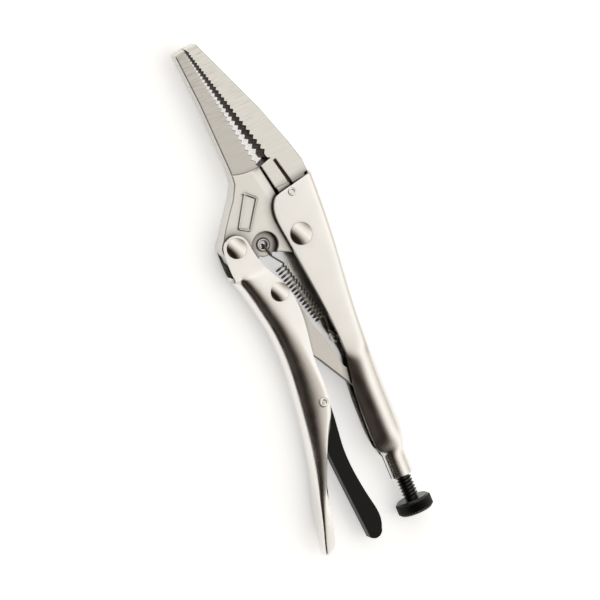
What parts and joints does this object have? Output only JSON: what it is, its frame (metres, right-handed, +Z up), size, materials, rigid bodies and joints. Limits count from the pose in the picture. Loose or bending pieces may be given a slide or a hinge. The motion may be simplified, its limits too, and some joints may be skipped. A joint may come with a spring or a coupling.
{
  "type": "locking pliers",
  "caption": "Long-nose locking pliers, shown closed: tapered serrated jaws with a wire cutter, two pressed steel handles, toggle link, release lever and knurled adjusting screw.",
  "frame": {"origin": "bottom centre of the closed tool lying flat on its side", "axes": "+X along the tool towards the jaw tips, +Y towards the movable handle, +Z up along the rivets"},
  "size_m": [0.227, 0.058, 0.0182],
  "materials": {
    "plated_sheet": "bright satin nickel plate over pressed steel",
    "ground_jaw": "ground and nickel plated",
    "rivet_steel": "polished nickel plate",
    "spring_wire": "bright drawn wire",
    "black_lever": "satin black coating",
    "black_oxide": "black oxide"
  },
  "bodies": {
    "fixed_side": {"fixed_handle": "plated_sheet", "fixed_jaw": "ground_jaw", "main_rivet": "rivet_steel", "jaw_pin": "rivet_steel", "return_spring": "spring_wire"},
    "movable_jaw": {"movable_jaw": "ground_jaw"},
    "movable_handle": {"movable_handle": "plated_sheet", "jaw_rivet": "rivet_steel", "link_rivet": "rivet_steel", "lever_pin": "rivet_steel"},
    "toggle_link": {"toggle_link": "plated_sheet"},
    "release_lever": {"release_lever": "black_lever"},
    "adjusting_screw": {"adjusting_screw": "black_oxide"}
  },
  "joints": [
    {"name": "jaw_pivot", "type": "hinge", "parent": "fixed_side", "child": "movable_jaw", "pos_m": [0.02112, -0.0139, 0.0091], "axis": [0, 0, 1], "range_deg": [0, 12], "deforming": ["return_spring"]},
    {"name": "handle_pivot", "type": "hinge", "parent": "movable_jaw", "child": "movable_handle", "pos_m": [0.02692, 0.0146, 0.0091], "axis": [0, 0, 1], "range_deg": [-41.6, 0]},
    {"name": "link_pivot", "type": "hinge", "parent": "movable_handle", "child": "toggle_link", "pos_m": [0.00212, 0.0046, 0.0091], "axis": [0, 0, 1], "range_deg": [0, 45.6]},
    {"name": "lever_pivot", "type": "hinge", "parent": "movable_handle", "child": "release_lever", "pos_m": [-0.04908, 0.0054, 0.0091], "axis": [0, 0, 1], "range_deg": [-8, 4]},
    {"name": "screw_advance", "type": "slide", "parent": "fixed_side", "child": "adjusting_screw", "axis": [1, 0, 0], "range_m": [-0.015, 0]}
  ],
  "couplings": [
    {"joint": "handle_pivot", "follows": "jaw_pivot", "ratio": -3.4495},
    {"joint": "link_pivot", "follows": "jaw_pivot", "ratio": 3.7788}
  ]
}
